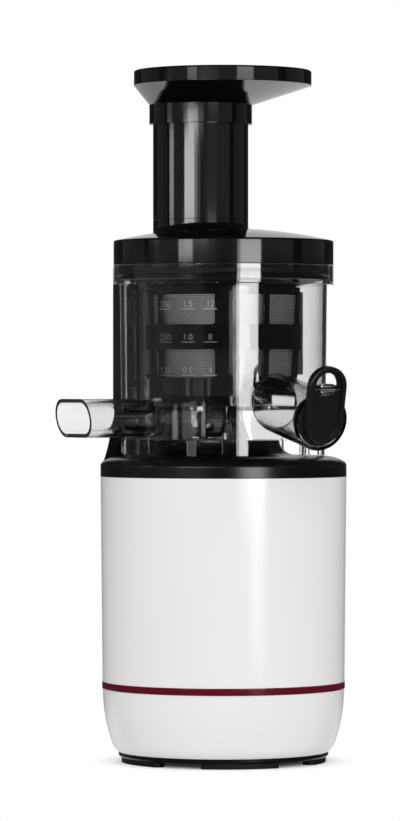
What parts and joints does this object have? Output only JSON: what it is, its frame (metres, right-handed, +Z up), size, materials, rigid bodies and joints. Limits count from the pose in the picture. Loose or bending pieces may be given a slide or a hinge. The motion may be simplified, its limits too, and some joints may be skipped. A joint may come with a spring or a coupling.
{
  "type": "slow juicer",
  "caption": "Upright slow juicer: white drive base with geared motor, clear bowl with auger, strainer and wiper basket, drip-stop spout, pulp tube, lid with feed chute and tray.",
  "frame": {"origin": "on the table under the machine's axis, at the centre of the ring of feet", "axes": "+Z up, -Y towards the juice spout (front), -X towards the pulp outlet, +Y towards the rear column"},
  "size_m": [0.1789, 0.2033, 0.4211],
  "materials": {
    "white_shell": "glossy moulded ABS, white",
    "burgundy_trim": "glossy moulded ABS, burgundy",
    "satin_black": "satin moulded ABS, black",
    "gloss_black": "polished moulded ABS, black",
    "clear_bowl": "clear moulded copolyester",
    "basket_black": "moulded food-grade polymer, black",
    "strainer_steel": "perforated stainless sheet",
    "soft_black": "moulded silicone rubber, black",
    "soft_grey": "moulded silicone, grey",
    "turned_steel": "turned steel",
    "motor_steel": "zinc-plated sheet steel",
    "core_iron": "stacked laminations and ferrite",
    "copper": "copper alloy",
    "gear_white": "moulded acetal, natural",
    "gearbox_alloy": "die-cast aluminium",
    "board_green": "circuit board laminate"
  },
  "bodies": {
    "base": {"feet": "soft_black", "base_plate": "satin_black", "filter_board": "board_green", "base_screws": "turned_steel", "lower_housing": "white_shell", "cord_gland": "satin_black", "trim_ring": "burgundy_trim", "main_housing": "white_shell", "switch_bezel": "satin_black", "top_cover": "satin_black", "rear_column": "satin_black", "column_cover": "satin_black", "interlock_sensor": "board_green", "motor_can": "motor_steel", "motor_end_cap": "motor_steel", "carbon_brushes": "copper", "motor_magnets": "core_iron", "motor_bearings": "turned_steel", "gearbox_case": "gearbox_alloy", "gearbox_cover": "gearbox_alloy", "gearbox_screws": "turned_steel", "intermediate_axle": "turned_steel", "lower_bearing": "turned_steel", "upper_bearing": "turned_steel", "shaft_seal": "soft_black"},
    "drive": {"drive_shaft": "turned_steel", "output_gear": "gear_white"},
    "rotor": {"motor_shaft": "turned_steel", "rotor_core": "core_iron", "commutator": "copper", "cooling_fan": "gear_white", "motor_pinion": "gear_white"},
    "intermediate": {"intermediate_gear": "gear_white"},
    "rocker": {"rocker_switch": "gloss_black"},
    "bowl": {"bowl": "clear_bowl", "juice_spout": "clear_bowl", "pulp_tube": "clear_bowl", "bowl_seal": "soft_black", "strainer_frame": "basket_black", "strainer_plate": "basket_black", "strainer_mesh": "strainer_steel", "idler_pin": "turned_steel"},
    "auger": {"auger_screw": "basket_black", "auger_drive_insert": "turned_steel"},
    "idler": {"idler_gear": "gear_white"},
    "basket": {"wiper_basket": "basket_black", "silicone_wipers": "soft_grey"},
    "lever": {"drip_lever": "gloss_black", "drip_plug": "soft_black", "lever_pin": "turned_steel"},
    "lid": {"lid": "gloss_black", "feed_tube": "gloss_black", "interlock_tab": "gloss_black", "lid_seal": "soft_black", "auger_bush": "copper", "lid_magnet": "core_iron"},
    "tray": {"feed_tray": "gloss_black"}
  },
  "joints": [
    {"name": "drive_spin", "type": "hinge", "parent": "base", "child": "drive", "pos_m": [0, 0, 0.144], "axis": [0, 0, 1], "continuous": true},
    {"name": "motor_spin", "type": "hinge", "parent": "base", "child": "rotor", "pos_m": [0, 0, 0.038], "axis": [0, 0, 1], "continuous": true},
    {"name": "intermediate_spin", "type": "hinge", "parent": "base", "child": "intermediate", "pos_m": [0.032, 0, 0.13], "axis": [0, 0, 1], "continuous": true},
    {"name": "rocker_tilt", "type": "hinge", "parent": "base", "child": "rocker", "pos_m": [0, 0.07034, 0.095], "axis": [1, 0, 0], "range_deg": [-10, 10]},
    {"name": "bowl_lift", "type": "slide", "parent": "base", "child": "bowl", "axis": [0, 0, 1], "range_m": [0, 0.12]},
    {"name": "auger_spin", "type": "hinge", "parent": "bowl", "child": "auger", "pos_m": [0, 0, 0.2165], "axis": [0, 0, 1], "continuous": true},
    {"name": "idler_spin", "type": "hinge", "parent": "bowl", "child": "idler", "pos_m": [0.01875, 0, 0.2168], "axis": [0, 0, 1], "continuous": true},
    {"name": "basket_spin", "type": "hinge", "parent": "bowl", "child": "basket", "pos_m": [0, 0, 0.2168], "axis": [0, 0, 1], "continuous": true},
    {"name": "drip_lever_swing", "type": "hinge", "parent": "bowl", "child": "lever", "pos_m": [0.004, -0.12079, 0.22671], "axis": [-1, 0, 0], "range_deg": [0, 80]},
    {"name": "lid_lift", "type": "slide", "parent": "bowl", "child": "lid", "axis": [0, 0, 1], "range_m": [0, 0.05]},
    {"name": "tray_lift", "type": "slide", "parent": "lid", "child": "tray", "axis": [0, 0, 1], "range_m": [0, 0.03]}
  ],
  "couplings": [
    {"joint": "motor_spin", "follows": "drive_spin", "ratio": 18.778},
    {"joint": "intermediate_spin", "follows": "drive_spin", "ratio": -4.3333},
    {"joint": "auger_spin", "follows": "drive_spin", "ratio": 1},
    {"joint": "idler_spin", "follows": "drive_spin", "ratio": -1.1429},
    {"joint": "basket_spin", "follows": "drive_spin", "ratio": -0.36364}
  ]
}
